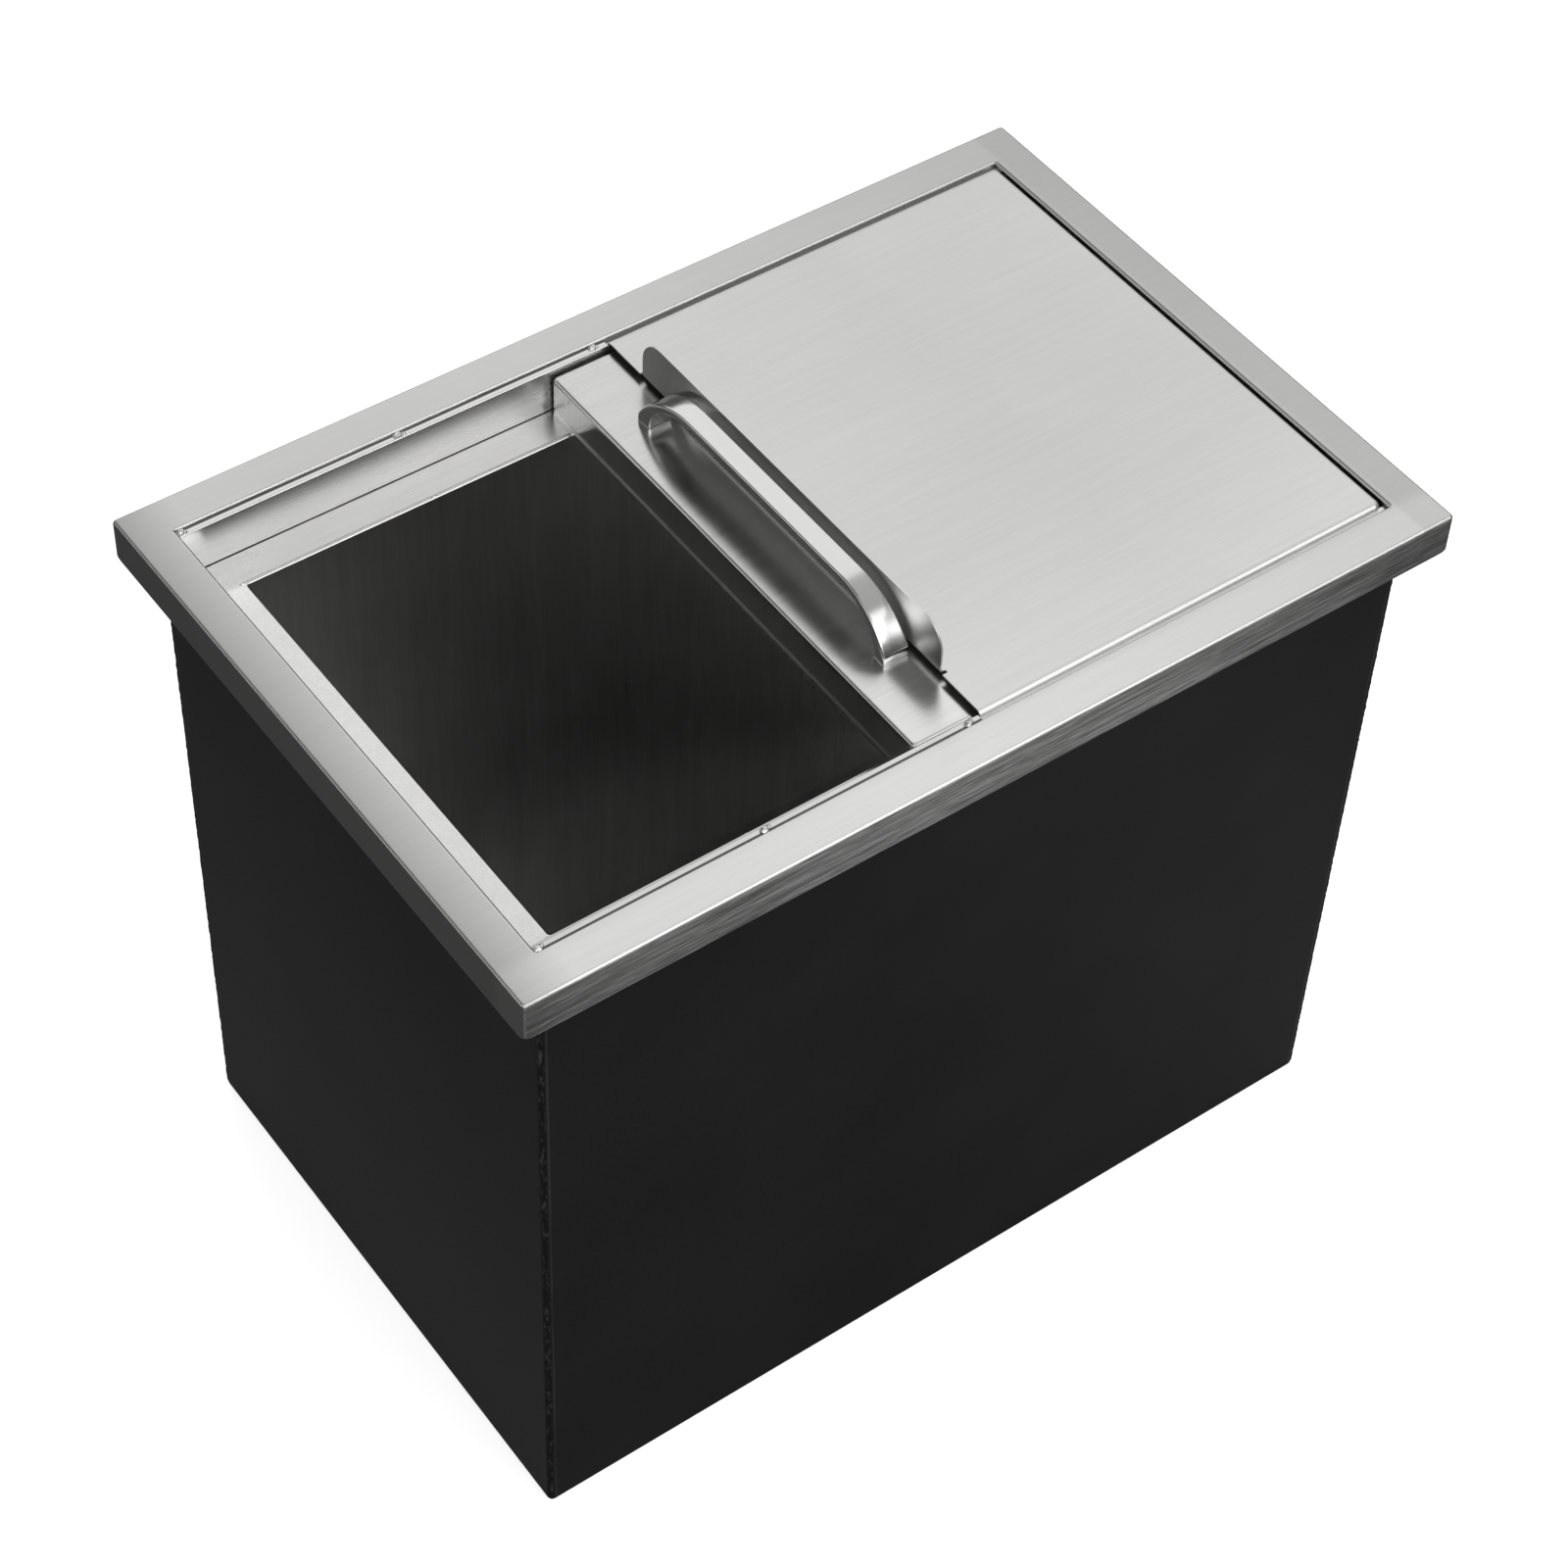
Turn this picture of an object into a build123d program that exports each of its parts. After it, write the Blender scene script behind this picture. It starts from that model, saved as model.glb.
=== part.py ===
from build123d import *
import os

os.makedirs("parts", exist_ok=True)

# Drop-in ice bin. Millimetres, +X to the right along the long side, +Y to the rear, +Z up.
# The origin is on the underside of the base, below the middle of the rim.

# Overall size
LENGTH = 686.0
WIDTH = 456.0
HEIGHT = 558.0

# Top rim: a flat band with a skirt outside, turned-down walls at the two ends and rolled edges along the window
RIM_SHEET = 1.2
RIM_END_BAND = 28.0
RIM_SIDE_BAND = 29.0
RIM_BEND = 2.5
RIM_CORNER = 3.0
RIM_CORNER_NIP = 5.0
WINDOW_ROLL = 1.8
SKIRT_DROP = 30.0

# Front and rear rails: a web with a strip that is set lower below the upper lid, and a ledge for the sliding lid
RAIL_SHEET = 1.2
RAIL_BEND = 1.0
RAIL_STRIP_SHOW = 5.7
RAIL_STRIP_LAP = 8.0
RAIL_END_GAP = 0.3
RECESS_END_GAP = 1.2
WEB_FOOT_GAP = 0.8
LEDGE_SHEET = 1.2
LEDGE_WIDTH = 24.1
LEDGE_DROP = 35.5

# Liner: the tub that holds the ice, with a flange at its mouth and a floor that falls to the drain
LINER_SHEET = 1.0
LINER_REVEAL = 1.7
LINER_CORNER = 2.0
LINER_MOUTH_ROUND = 1.5
END_LEDGE = 28.6
FLOOR_HEIGHT = 46.0
FLOOR_FALL = 5.0
DRAIN_FLAT_MARGIN = 10.0
DRAIN_DISH_MARGIN = 4.0

# Outer shell: four painted panels with returns at the foot, corner beads and a base plate
SHELL_SHEET = 1.0
SHELL_INSET_END = 21.7
SHELL_INSET_SIDE = 18.3
SHELL_BEND = 4.0
SHELL_RETURN = 18.0
BASE_SHEET = 1.2

# Upper lid: a sheet with three edges bent down that rests on the rails, with a finger guard along its left edge
LID_SHEET = 1.2
UPPER_LID_LENGTH = 314.7
UPPER_LID_END_GAP = 2.3
UPPER_LID_SIDE_GAP = 3.9
UPPER_LID_STAND = 0.2
UPPER_LID_DEPTH = 4.1
UPPER_LID_BEND = 3.8
UPPER_LID_CORNER = 5.0
GUARD_LENGTH = 311.0
GUARD_HEIGHT = 34.4
GUARD_CORNER = 20.0
GUARD_BEND = 1.5
NOTCH_WIDTH = 2.6
NOTCH_DEPTH = 4.0

# Lower lid: an inverted pan with hemmed ends that slides along the rail ledges
LOWER_LID_STEP = 5.5
LOWER_LID_SIDE_GAP = 2.3
LOWER_LID_END_GAP = 12.0
LOWER_LID_CORNER = 4.0
LOWER_LID_BEND = 2.6
LOWER_LID_HEM = 3.2
LID_RUNNING_GAP = 0.2
SLIDE_STOP_GAP = 4.0

# Handle: an arched bar, thicker and wider at its feet, screwed on from below
HANDLE_GAP = 2.4
HANDLE_SETBACK = 24.0
HANDLE_WIDTH = 15.5
HANDLE_FOOT_WIDTH = 19.5
HANDLE_SPAN = 259.0
HANDLE_RISE = 35.0
HANDLE_SHOULDER = 49.5
HANDLE_TOE_HEIGHT = 5.0
HANDLE_TOE_ROUND = 8.0
HANDLE_TOP_THICKNESS = 5.5
HANDLE_FOOT_THICKNESS = 12.0
HANDLE_INNER_SHOULDER = 39.5
HANDLE_EDGE_ROUND = 1.5
HANDLE_BASE_CHAMFER = 0.8
SCREW_RADIUS = 1.75
SCREW_REACH = 8.0
SCREW_HEAD_RADIUS = 3.8
SCREW_HEAD_HEIGHT = 2.6
SCREW_HEAD_ROUND = 1.0
SCREW_SLOT_WIDTH = 1.1
SCREW_SLOT_LENGTH = 4.6
SCREW_SLOT_DEPTH = 1.2
SCREW_CLEARANCE = 0.1
WASHER_RADIUS = 5.0
WASHER_THICKNESS = 1.0

# Drain: a flanged outlet with a lift-out strainer, clamped in a recess under the base
GASKET_THICKNESS = 1.5
FLANGE_THICKNESS = 2.5
FLANGE_RADIUS = 38.0
SUMP_RADIUS = 27.0
SUMP_WALL = 2.0
SUMP_DEPTH = 5.0
OUTLET_RADIUS = 16.6
OUTLET_WALL = 4.1
OUTLET_THREAD_SHOW = 1.5
SPIGOT_RADIUS = 16.0
SPIGOT_CHAMFER = 1.2
OUTLET_GROUND_GAP = 3.0
STRAINER_SEAT_WIDTH = 4.0
STRAINER_SEAT_DEPTH = 1.5
STRAINER_THICKNESS = 1.2
STRAINER_GAP = 0.3
STRAINER_HOLE_RADIUS = 2.5
STRAINER_HOLE_MARGIN = 1.0
STRAINER_RINGS = 3
STRAINER_HOLES_PER_RING = 6
KNOB_RADIUS = 4.0
KNOB_WAIST = 2.0
KNOB_HEIGHT = 9.0
DRAIN_CLEARANCE = 0.4
RECESS_HEIGHT = 28.0
RECESS_RADIUS = 45.0
RECESS_SHEET = 1.2
RECESS_FLANGE = 11.0
DRAIN_WASHER_THICKNESS = 1.5
DRAIN_WASHER_RADIUS = 25.0
NUT_FLATS = 46.0
NUT_THICKNESS = 8.0
NUT_CHAMFER = 1.2
THREAD_CLEARANCE = 0.1

# Weld nuggets: tacks between the rail strips and the rim, and knots along the ledges
TACK_RADIUS = 3.4
TACK_STAND = 0.9
TACK_SETBACK = 10.5
TACK_INSET = 2.4
KNOT_RADIUS = 2.2
KNOT_SINK = 0.2
KNOT_HALF_PITCH = 151.0

# Plan sizes that follow from the driving dimensions
window_x = LENGTH / 2 - RIM_END_BAND
window_y = WIDTH / 2 - RIM_SIDE_BAND
web_y = window_y - RAIL_STRIP_SHOW
ledge_edge_y = web_y - LEDGE_WIDTH
well_x = window_x - END_LEDGE
well_y = ledge_edge_y - LINER_REVEAL
shell_x = LENGTH / 2 - SHELL_INSET_END
shell_y = WIDTH / 2 - SHELL_INSET_SIDE
panel_x = shell_x - SHELL_BEND
panel_y = shell_y - SHELL_BEND

# Levels that follow from the driving dimensions
rim_under = HEIGHT - RIM_SHEET
strip_top = HEIGHT - WINDOW_ROLL
upper_top = HEIGHT + UPPER_LID_STAND
upper_plate_under = upper_top - LID_SHEET
recess_top = upper_top - UPPER_LID_DEPTH
skirt_foot = HEIGHT - SKIRT_DROP
ledge_top = HEIGHT - LEDGE_DROP
web_foot = ledge_top + WEB_FOOT_GAP
liner_mouth = ledge_top - LEDGE_SHEET
drain_level = FLOOR_HEIGHT - FLOOR_FALL
flange_under = drain_level - FLANGE_THICKNESS
dish_level = flange_under - GASKET_THICKNESS
base_top = SHELL_SHEET + BASE_SHEET
nut_top = RECESS_HEIGHT - DRAIN_WASHER_THICKNESS
nut_foot = nut_top - NUT_THICKNESS

# Places of the lids and the handle, with the sliding lid tucked under the upper lid
upper_right = window_x - UPPER_LID_END_GAP
upper_left = upper_right - UPPER_LID_LENGTH
upper_half_y = window_y - UPPER_LID_SIDE_GAP
recess_left = upper_left - RECESS_END_GAP
handle_x = upper_left - HANDLE_GAP - HANDLE_FOOT_WIDTH / 2
lower_left = handle_x - HANDLE_FOOT_WIDTH / 2 - HANDLE_SETBACK
lower_right = window_x - LOWER_LID_END_GAP
lower_half_y = web_y - LOWER_LID_SIDE_GAP
lower_top = HEIGHT - LOWER_LID_STEP
lower_foot = ledge_top + LID_RUNNING_GAP
slide_travel = lower_left - LID_SHEET + window_x - SLIDE_STOP_GAP
print(f"lower lid slides {slide_travel:.1f} mm to the left")


def save(piece, name):
    """Label a finished piece and write it to its own file."""
    piece.part.label = name
    export_step(piece.part, f"parts/{name}.step")


def block(low, high, bottom, height, mode=Mode.ADD):
    """An upright block between two plan corners, from bottom up."""
    with Locations((low[0], low[1], bottom)):
        Box(high[0] - low[0], high[1] - low[1], height, align=Align.MIN, mode=mode)


# Top rim
with BuildPart() as corner_nips:
    corner_plane = Plane(
        origin=(LENGTH / 2, WIDTH / 2, skirt_foot), x_dir=(-1, -1, 0), z_dir=(-1, 1, 0)
    )
    with BuildSketch(corner_plane):
        Rectangle(RIM_CORNER_NIP, RIM_CORNER_NIP, align=Align.MIN)
        with Locations((RIM_CORNER_NIP, RIM_CORNER_NIP)):
            Circle(RIM_CORNER_NIP, mode=Mode.SUBTRACT)
    extrude(amount=2 * RIM_CORNER_NIP, both=True)
    mirror(about=Plane.XZ)
    mirror(about=Plane.YZ)

with BuildPart() as top_rim:
    with BuildSketch(Plane.XY.offset(skirt_foot)):
        RectangleRounded(LENGTH, WIDTH, RIM_CORNER)
    extrude(amount=SKIRT_DROP)
    fillet(top_rim.faces().sort_by(Axis.Z)[-1].edges(), RIM_BEND)
    with BuildSketch(Plane.XY.offset(skirt_foot)):
        RectangleRounded(LENGTH - 2 * RIM_SHEET, WIDTH - 2 * RIM_SHEET, RIM_CORNER - RIM_SHEET)
    extrude(amount=SKIRT_DROP - RIM_SHEET, mode=Mode.SUBTRACT)
    ceiling = top_rim.faces().filter_by(Axis.Z).sort_by(Axis.Z)[-2]
    fillet(ceiling.outer_wire().edges(), RIM_BEND - RIM_SHEET)
    block((-window_x, -window_y), (window_x, window_y), rim_under, RIM_SHEET, Mode.SUBTRACT)
    for side in (-1, 1):
        wall = sorted([side * window_x, side * (window_x + RIM_SHEET)])
        block((wall[0], -window_y), (wall[1], window_y), liner_mouth, HEIGHT - liner_mouth)
        lip = sorted([side * window_y, side * (window_y + RIM_SHEET)])
        block((-window_x, lip[0]), (window_x, lip[1]), strip_top, HEIGHT - strip_top)
    for plane, half_width, half_length, radius in (
        (Plane.XZ, window_x, window_y, RIM_BEND),
        (Plane.YZ, window_y, window_x, WINDOW_ROLL),
    ):
        with BuildSketch(plane):
            for side in (-1, 1):
                with Locations((side * (half_width + radius / 2), HEIGHT - radius / 2)):
                    Rectangle(radius, radius)
                with Locations((side * (half_width + radius), HEIGHT - radius)):
                    Circle(radius, mode=Mode.SUBTRACT)
        extrude(amount=half_length, both=True, mode=Mode.SUBTRACT)
    add(corner_nips.part, mode=Mode.SUBTRACT)
save(top_rim, "top_rim")


# Front and rear rails, and the ledges below them
def make_rail(side):
    """The front (-1) or rear (+1) rail: strip and web, with the strip set lower below the upper lid."""
    half_length = window_x - RAIL_END_GAP
    strip_under = strip_top - RAIL_SHEET
    recess_under = recess_top - RAIL_SHEET
    web_back = web_y + RAIL_SHEET
    riser_back = window_y + RAIL_SHEET
    lap_y = window_y + RAIL_STRIP_LAP
    open_section = [
        (web_y, web_foot),
        (web_y, strip_top),
        (lap_y, strip_top),
        (lap_y, strip_under),
        (web_back, strip_under),
        (web_back, web_foot),
    ]
    recessed_section = [
        (web_y, web_foot),
        (web_y, recess_top),
        (window_y, recess_top),
        (window_y, strip_top),
        (lap_y, strip_top),
        (lap_y, strip_under),
        (riser_back, strip_under),
        (riser_back, recess_under),
        (web_back, recess_under),
        (web_back, web_foot),
    ]
    with BuildPart() as rail:
        for start, end, section in (
            (-half_length, recess_left, open_section),
            (recess_left, half_length, recessed_section),
        ):
            with BuildSketch(Plane.YZ.offset(start)):
                with BuildLine():
                    Polyline(*[(side * y, z) for y, z in section], close=True)
                face = make_face()
                web_corners = face.vertices().group_by(Axis.X)[0 if side > 0 else -1]
                fillet(web_corners.sort_by(Axis.Y)[-1], RAIL_BEND)
            extrude(amount=end - start)
    return rail


def make_ledge(side):
    """The flat ledge on the front (-1) or rear (+1) side, laid on the liner's flange and under the web."""
    ys = sorted([side * ledge_edge_y, side * (web_y + RAIL_SHEET)])
    half_length = window_x - RAIL_END_GAP
    with BuildPart() as ledge:
        block((-half_length, ys[0]), (half_length, ys[1]), liner_mouth, LEDGE_SHEET)
    return ledge


front_rail = make_rail(-1)
save(front_rail, "front_rail")
rear_rail = make_rail(1)
save(rear_rail, "rear_rail")
front_ledge = make_ledge(-1)
save(front_ledge, "front_ledge")
rear_ledge = make_ledge(1)
save(rear_ledge, "rear_ledge")


# Weld nuggets
with BuildPart() as rail_tacks:
    with Locations((0, 0, HEIGHT + TACK_STAND - TACK_RADIUS)):
        for x in (TACK_INSET - window_x, (upper_left - window_x) / 2, upper_left - TACK_SETBACK):
            with Locations((x, 0)):
                with GridLocations(0, 2 * (window_y - TACK_INSET), 1, 2):
                    Sphere(TACK_RADIUS)
    split(bisect_by=Plane.XY.offset(strip_top), keep=Keep.TOP)
    add(top_rim.part, mode=Mode.SUBTRACT)
save(rail_tacks, "rail_tacks")


# Liner
def make_tub(wall):
    """The tub as a solid: its inside with wall 0, or its outside with the sheet added all round."""
    section = (2 * (well_x + wall), 2 * (well_y + wall), LINER_CORNER + wall)
    dish_radius = FLANGE_RADIUS + DRAIN_DISH_MARGIN + wall
    drain_flat = 2 * (FLANGE_RADIUS + DRAIN_DISH_MARGIN + DRAIN_FLAT_MARGIN)
    with BuildPart() as tub:
        with BuildSketch(Plane.XY.offset(FLOOR_HEIGHT - wall)):
            RectangleRounded(*section)
        extrude(amount=liner_mouth - FLOOR_HEIGHT + wall)
        with BuildSketch(Plane.XY.offset(FLOOR_HEIGHT - wall)):
            RectangleRounded(*section)
        with BuildSketch(Plane.XY.offset(drain_level - wall)):
            RectangleRounded(drain_flat, drain_flat, LINER_CORNER + wall)
        loft(ruled=True)
        with BuildSketch(Plane.XY.offset(dish_level - wall)):
            Circle(dish_radius)
        extrude(amount=FLOOR_HEIGHT - dish_level)
    return tub


tub_outside = make_tub(LINER_SHEET)
tub_inside = make_tub(0)
sump_outer_radius = SUMP_RADIUS + SUMP_WALL

with BuildPart() as liner:
    add(tub_outside.part)
    flange_corner = (window_x + RIM_SHEET, web_y + RAIL_SHEET)
    block((-flange_corner[0], -flange_corner[1]), flange_corner, liner_mouth - LINER_SHEET, LINER_SHEET)
    add(tub_inside.part, mode=Mode.SUBTRACT)
    with BuildSketch(Plane.XY.offset(dish_level - LINER_SHEET)):
        Circle(sump_outer_radius + DRAIN_CLEARANCE)
    extrude(amount=LINER_SHEET, mode=Mode.SUBTRACT)
    mouth = liner.faces().filter_by(Axis.Z).sort_by(Axis.Z)[-1].inner_wires()[0]
    fillet(mouth.edges(), LINER_MOUTH_ROUND)
save(liner, "liner")

with BuildPart() as ledge_knots:
    with Locations((0, 0, liner_mouth)):
        with GridLocations(2 * (well_x + KNOT_RADIUS), 2 * ledge_edge_y, 2, 2):
            Sphere(KNOT_RADIUS)
        with GridLocations(2 * KNOT_HALF_PITCH, 2 * ledge_edge_y, 2, 2):
            Sphere(KNOT_RADIUS)
    split(bisect_by=Plane.XY.offset(ledge_top - KNOT_SINK), keep=Keep.BOTTOM)
    split(bisect_by=Plane.XY.offset(liner_mouth - LINER_SHEET), keep=Keep.TOP)
    add(liner.part, mode=Mode.SUBTRACT)
    add(front_ledge.part, mode=Mode.SUBTRACT)
    add(rear_ledge.part, mode=Mode.SUBTRACT)
save(ledge_knots, "ledge_knots")


# Outer shell: one folded form, parted into four panels and four corner beads
with BuildPart() as shell_form:
    block((-shell_x, -shell_y), (shell_x, shell_y), 0, rim_under)
    upright = shell_form.edges().filter_by(Axis.Z)
    foot = shell_form.faces().sort_by(Axis.Z)[0].edges()
    fillet(upright + foot, SHELL_BEND)
    offset(amount=-SHELL_SHEET, openings=shell_form.faces().sort_by(Axis.Z)[-1])
    base_opening = (shell_x - SHELL_RETURN, shell_y - SHELL_RETURN)
    block((-base_opening[0], -base_opening[1]), base_opening, 0, SHELL_SHEET, Mode.SUBTRACT)


def part_of_shell(*areas):
    """The stretch of the folded shell that stands on the given plan rectangles."""
    with BuildPart() as panel:
        for area in areas:
            xs = sorted([area[0], area[2]])
            ys = sorted([area[1], area[3]])
            block((xs[0], ys[0]), (xs[1], ys[1]), 0, rim_under)
        add(shell_form.part, mode=Mode.INTERSECT)
    return panel


def make_long_panel(side):
    """Front (-1) or rear (+1) panel, with its return at the foot."""
    return part_of_shell((-panel_x, side * (shell_y - SHELL_RETURN), panel_x, side * shell_y))


def make_end_panel(side):
    """Left (-1) or right (+1) panel, its return cut back clear of the long panels' returns."""
    return_half = shell_y - SHELL_RETURN
    return part_of_shell(
        (side * panel_x, -panel_y, side * shell_x, panel_y),
        (side * (shell_x - SHELL_RETURN), -return_half, side * shell_x, return_half),
    )


shell_front = make_long_panel(-1)
save(shell_front, "shell_front")
shell_rear = make_long_panel(1)
save(shell_rear, "shell_rear")
shell_left = make_end_panel(-1)
save(shell_left, "shell_left")
shell_right = make_end_panel(1)
save(shell_right, "shell_right")

bead_areas = []
for side_x in (-1, 1):
    for side_y in (-1, 1):
        bead_areas.append((side_x * panel_x, side_y * panel_y, side_x * shell_x, side_y * shell_y))
corner_beads = part_of_shell(*bead_areas)
save(corner_beads, "corner_beads")

with BuildPart() as base_plate:
    with BuildSketch(Plane.XY.offset(SHELL_SHEET)):
        Rectangle(2 * panel_x, 2 * panel_y)
        Circle(RECESS_RADIUS, mode=Mode.SUBTRACT)
    extrude(amount=BASE_SHEET)
save(base_plate, "base_plate")


# Drain
outlet_clear_radius = OUTLET_RADIUS + DRAIN_CLEARANCE
cup_top = RECESS_HEIGHT + RECESS_SHEET
with BuildPart() as drain_recess_cup:
    with BuildSketch(Plane.XZ):
        with BuildLine():
            Polyline(
                (outlet_clear_radius, RECESS_HEIGHT),
                (RECESS_RADIUS, RECESS_HEIGHT),
                (RECESS_RADIUS, base_top),
                (RECESS_RADIUS + RECESS_FLANGE, base_top),
                (RECESS_RADIUS + RECESS_FLANGE, base_top + RECESS_SHEET),
                (RECESS_RADIUS + RECESS_SHEET, base_top + RECESS_SHEET),
                (RECESS_RADIUS + RECESS_SHEET, cup_top),
                (outlet_clear_radius, cup_top),
                close=True,
            )
        make_face()
    revolve(axis=Axis.Z)
save(drain_recess_cup, "drain_recess_cup")

seat_level = drain_level - STRAINER_SEAT_DEPTH
sump_foot = flange_under - SUMP_DEPTH
seat_radius = SUMP_RADIUS + STRAINER_SEAT_WIDTH
bore_radius = OUTLET_RADIUS - OUTLET_WALL
spigot_top = nut_foot - OUTLET_THREAD_SHOW
with BuildPart() as drain_fitting:
    with BuildSketch(Plane.XZ):
        with BuildLine():
            Polyline(
                (bore_radius, OUTLET_GROUND_GAP),
                (SPIGOT_RADIUS, OUTLET_GROUND_GAP),
                (SPIGOT_RADIUS, spigot_top),
                (OUTLET_RADIUS, spigot_top),
                (OUTLET_RADIUS, sump_foot - SUMP_WALL),
                (sump_outer_radius, sump_foot + SUMP_WALL),
                (sump_outer_radius, flange_under),
                (FLANGE_RADIUS, flange_under),
                (FLANGE_RADIUS, drain_level),
                (seat_radius, drain_level),
                (seat_radius, seat_level),
                (SUMP_RADIUS, seat_level),
                (SUMP_RADIUS, sump_foot + 2 * SUMP_WALL),
                (bore_radius, sump_foot),
                close=True,
            )
        make_face()
    revolve(axis=Axis.Z)
    outlet_lip = drain_fitting.faces().filter_by(Axis.Z).sort_by(Axis.Z)[0]
    chamfer(outlet_lip.outer_wire().edges(), SPIGOT_CHAMFER)
save(drain_fitting, "drain_fitting")

with BuildPart() as drain_gasket:
    with BuildSketch(Plane.XY.offset(dish_level)):
        Circle(FLANGE_RADIUS)
        Circle(sump_outer_radius + DRAIN_CLEARANCE, mode=Mode.SUBTRACT)
    extrude(amount=GASKET_THICKNESS)
save(drain_gasket, "drain_gasket")

with BuildPart() as drain_washer:
    with BuildSketch(Plane.XY.offset(nut_top)):
        Circle(DRAIN_WASHER_RADIUS)
        Circle(outlet_clear_radius, mode=Mode.SUBTRACT)
    extrude(amount=DRAIN_WASHER_THICKNESS)
save(drain_washer, "drain_washer")

with BuildPart() as drain_locknut:
    with BuildSketch(Plane.XY.offset(nut_foot)):
        hexagon = RegularPolygon(NUT_FLATS / 2, 6, major_radius=False)
        fillet(hexagon.vertices(), NUT_CHAMFER)
        Circle(OUTLET_RADIUS + THREAD_CLEARANCE, mode=Mode.SUBTRACT)
    extrude(amount=NUT_THICKNESS)
save(drain_locknut, "drain_locknut")

knob_foot = seat_level + STRAINER_THICKNESS
knob_top = knob_foot + KNOB_HEIGHT
ring_pitch = (SUMP_RADIUS - STRAINER_HOLE_MARGIN - STRAINER_HOLE_RADIUS) / (STRAINER_RINGS + 1 / 2)
with BuildPart() as drain_strainer:
    with BuildSketch(Plane.XY.offset(seat_level)):
        Circle(seat_radius - STRAINER_GAP)
        for ring in range(1, STRAINER_RINGS + 1):
            with PolarLocations(ring_pitch * (ring + 1 / 2), STRAINER_HOLES_PER_RING * ring):
                Circle(STRAINER_HOLE_RADIUS, mode=Mode.SUBTRACT)
    extrude(amount=STRAINER_THICKNESS)
    with BuildSketch(Plane.XZ):
        with BuildLine():
            Polyline(
                (0, knob_foot),
                (KNOB_RADIUS, knob_foot),
                (KNOB_WAIST, (knob_foot + knob_top) / 2),
                (KNOB_RADIUS, knob_top),
                (0, knob_top),
                close=True,
            )
        make_face()
    revolve(axis=Axis.Z)
save(drain_strainer, "drain_strainer")


# Insulation boards between the liner and the shell
floor_board_top = FLOOR_HEIGHT - LINER_SHEET
wall_board_height = liner_mouth - FLOOR_HEIGHT
with BuildPart() as insulation_floor:
    block((-panel_x, -panel_y), (panel_x, panel_y), base_top, floor_board_top - base_top)
    add(tub_outside.part, mode=Mode.SUBTRACT)
    with BuildSketch(Plane.XY.offset(base_top)):
        Circle(RECESS_RADIUS + RECESS_FLANGE)
    extrude(amount=RECESS_SHEET, mode=Mode.SUBTRACT)
    with BuildSketch(Plane.XY.offset(base_top)):
        Circle(RECESS_RADIUS + RECESS_SHEET)
    extrude(amount=cup_top - base_top, mode=Mode.SUBTRACT)
    with BuildSketch(Plane.XY.offset(base_top)):
        Circle(sump_outer_radius + DRAIN_CLEARANCE)
    extrude(amount=floor_board_top - base_top, mode=Mode.SUBTRACT)
save(insulation_floor, "insulation_floor")


def make_board(low, high):
    """A wall board between two plan corners, from the floor board up to the liner's flange."""
    with BuildPart() as board:
        block(low, high, floor_board_top, wall_board_height)
    return board


board_inner_x = well_x + LINER_SHEET
board_inner_y = well_y + LINER_SHEET
board_outer_x = shell_x - SHELL_SHEET
board_outer_y = shell_y - SHELL_SHEET
insulation_front = make_board((-panel_x, -board_outer_y), (panel_x, -board_inner_y))
save(insulation_front, "insulation_front")
insulation_rear = make_board((-panel_x, board_inner_y), (panel_x, board_outer_y))
save(insulation_rear, "insulation_rear")
insulation_left = make_board((-board_outer_x, -board_inner_y), (-board_inner_x, board_inner_y))
save(insulation_left, "insulation_left")
insulation_right = make_board((board_inner_x, -board_inner_y), (board_outer_x, board_inner_y))
save(insulation_right, "insulation_right")


# Upper lid
with BuildPart() as upper_lid:
    with BuildSketch(Plane.XY.offset(recess_top)):
        with Locations((upper_left + UPPER_LID_LENGTH / 2, 0)):
            outline = Rectangle(UPPER_LID_LENGTH, 2 * upper_half_y)
        fillet(outline.vertices().group_by(Axis.X)[-1], UPPER_LID_CORNER)
    extrude(amount=UPPER_LID_DEPTH)
    fillet(upper_lid.faces().sort_by(Axis.Z)[-1].edges().sort_by(Axis.X)[1:], UPPER_LID_BEND)
    open_sides = [upper_lid.faces().sort_by(Axis.Z)[0], upper_lid.faces().sort_by(Axis.X)[0]]
    offset(amount=-LID_SHEET, openings=open_sides)
    for side in (-1, 1):
        notch = sorted([side * GUARD_LENGTH / 2, side * (GUARD_LENGTH / 2 + NOTCH_WIDTH)])
        block(
            (upper_left, notch[0]),
            (upper_left + NOTCH_DEPTH, notch[1]),
            upper_plate_under,
            LID_SHEET,
            Mode.SUBTRACT,
        )
    with BuildSketch(Plane.YZ.offset(upper_left)):
        with Locations((0, upper_plate_under)):
            blade_height = HEIGHT + GUARD_HEIGHT - upper_plate_under
            blade = Rectangle(GUARD_LENGTH, blade_height, align=(Align.CENTER, Align.MIN))
        fillet(blade.vertices().group_by(Axis.Y)[-1], GUARD_CORNER)
    extrude(amount=LID_SHEET)
    for x, radius in ((upper_left + LID_SHEET, GUARD_BEND), (upper_left, GUARD_BEND + LID_SHEET)):
        bend = (
            upper_lid.edges()
            .filter_by(Axis.Y)
            .filter_by_position(Axis.X, x - LID_SHEET / 2, x + LID_SHEET / 2)
            .filter_by_position(Axis.Y, -GUARD_LENGTH / 4, GUARD_LENGTH / 4)
        )
        fillet(bend.group_by(Axis.Z)[0], radius)
save(upper_lid, "upper_lid")


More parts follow.
